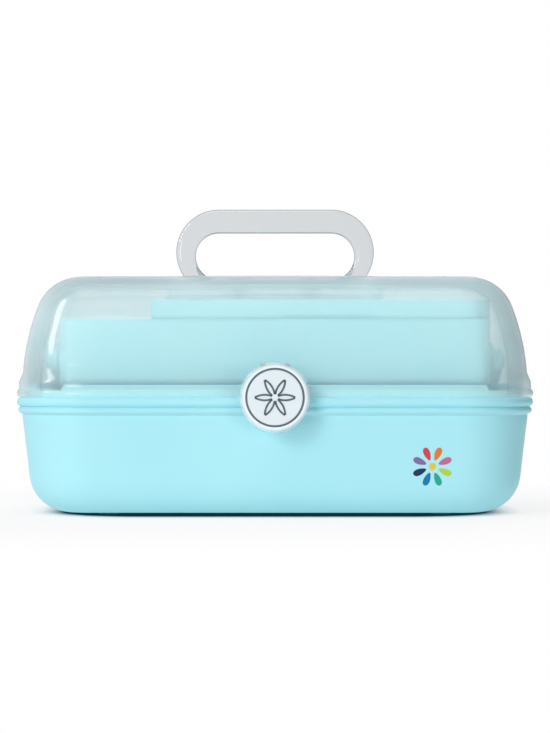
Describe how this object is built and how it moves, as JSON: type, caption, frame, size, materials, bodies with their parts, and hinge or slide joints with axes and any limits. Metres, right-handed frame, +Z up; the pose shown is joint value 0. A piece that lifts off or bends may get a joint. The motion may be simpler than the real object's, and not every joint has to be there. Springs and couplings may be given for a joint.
{
  "type": "makeup storage case with handle",
  "caption": "Pale aqua makeup case with a see-through domed lid, clear folding ring handle, round front latch, and a mirrored tray that rises as the lid opens",
  "frame": {"origin": "On the floor under the middle of the case.", "axes": "+X to the right of someone facing the latch, -Y the front, +Z up."},
  "size_m": [0.335, 0.2228, 0.2009],
  "materials": {
    "tub_plastic": "opaque pale aqua, soft gloss",
    "tray_plastic": "opaque pale aqua, satin",
    "dome_plastic": "frosted see-through, faint aqua tint",
    "clear_plastic": "clear, polished",
    "badge_white": "white, glossy",
    "badge_grey": "dark grey, glossy",
    "pin_steel": "bright drawn steel",
    "pivot_plastic": "opaque aqua, satin",
    "mirror": "silvered"
  },
  "bodies": {
    "base": {"base_shell": "tub_plastic", "tub_hinge_left": "tub_plastic", "tub_hinge_right": "tub_plastic", "hinge_pin_left": "pin_steel", "hinge_pin_right": "pin_steel", "arm_base_pins": "pivot_plastic"},
    "lid": {"lid_shell": "dome_plastic", "handle_well": "dome_plastic", "lid_hinge_left": "dome_plastic", "lid_hinge_right": "dome_plastic", "latch_lugs": "dome_plastic", "lid_bracket_left": "tray_plastic", "lid_bracket_right": "tray_plastic", "latch_pin": "pin_steel", "handle_clip_left": "clear_plastic", "handle_clip_right": "clear_plastic", "clip_screws": "pin_steel"},
    "handle": {"handle": "clear_plastic"},
    "latch": {"latch_cap": "clear_plastic", "badge_ring": "badge_grey", "badge_disc": "badge_white"},
    "arm_left": {"arm_left": "tray_plastic"},
    "arm_right": {"arm_right": "tray_plastic"},
    "tray": {"upper_tray": "tray_plastic", "tray_bosses": "tray_plastic", "tray_cross_wall": "tray_plastic", "tray_partition": "tray_plastic", "tray_dividers": "tray_plastic", "tray_pivot_pins": "pivot_plastic", "arm_tip_pins": "pivot_plastic", "flip_lid_ears": "tray_plastic", "flip_hinge_pins": "pin_steel"},
    "flip_lid": {"flip_lid": "tray_plastic", "flip_lid_lugs": "tray_plastic", "mirror_glass": "mirror"}
  },
  "joints": [
    {"name": "lid_hinge", "type": "hinge", "parent": "base", "child": "lid", "pos_m": [0, 0.106, 0.0765], "axis": [-1, 0, 0], "range_deg": [0, 100]},
    {"name": "tray_pivot", "type": "hinge", "parent": "lid", "child": "tray", "pos_m": [0, 0.038, 0.108], "axis": [1, 0, 0], "range_deg": [0, 100]},
    {"name": "arm_left_pivot", "type": "hinge", "parent": "base", "child": "arm_left", "pos_m": [-0.144, 0.02, 0.068], "axis": [-1, 0, 0], "range_deg": [0, 100]},
    {"name": "arm_right_pivot", "type": "hinge", "parent": "base", "child": "arm_right", "pos_m": [0.144, 0.02, 0.068], "axis": [-1, 0, 0], "range_deg": [0, 100]},
    {"name": "flip_lid_hinge", "type": "hinge", "parent": "tray", "child": "flip_lid", "pos_m": [0, 0.03, 0.1302], "axis": [-1, 0, 0], "range_deg": [0, 90]},
    {"name": "handle_fold", "type": "hinge", "parent": "lid", "child": "handle", "pos_m": [0, 0, 0.1488], "axis": [-1, 0, 0], "range_deg": [0, 89]},
    {"name": "latch_hinge", "type": "hinge", "parent": "lid", "child": "latch", "pos_m": [0, -0.1012, 0.096], "axis": [-1, 0, 0], "range_deg": [0, 60]}
  ],
  "couplings": [
    {"joint": "tray_pivot", "follows": "lid_hinge", "ratio": 1},
    {"joint": "arm_left_pivot", "follows": "lid_hinge", "ratio": 1},
    {"joint": "arm_right_pivot", "follows": "lid_hinge", "ratio": 1},
    {"joint": "flip_lid_hinge", "follows": "lid_hinge", "ratio": 0.9}
  ]
}
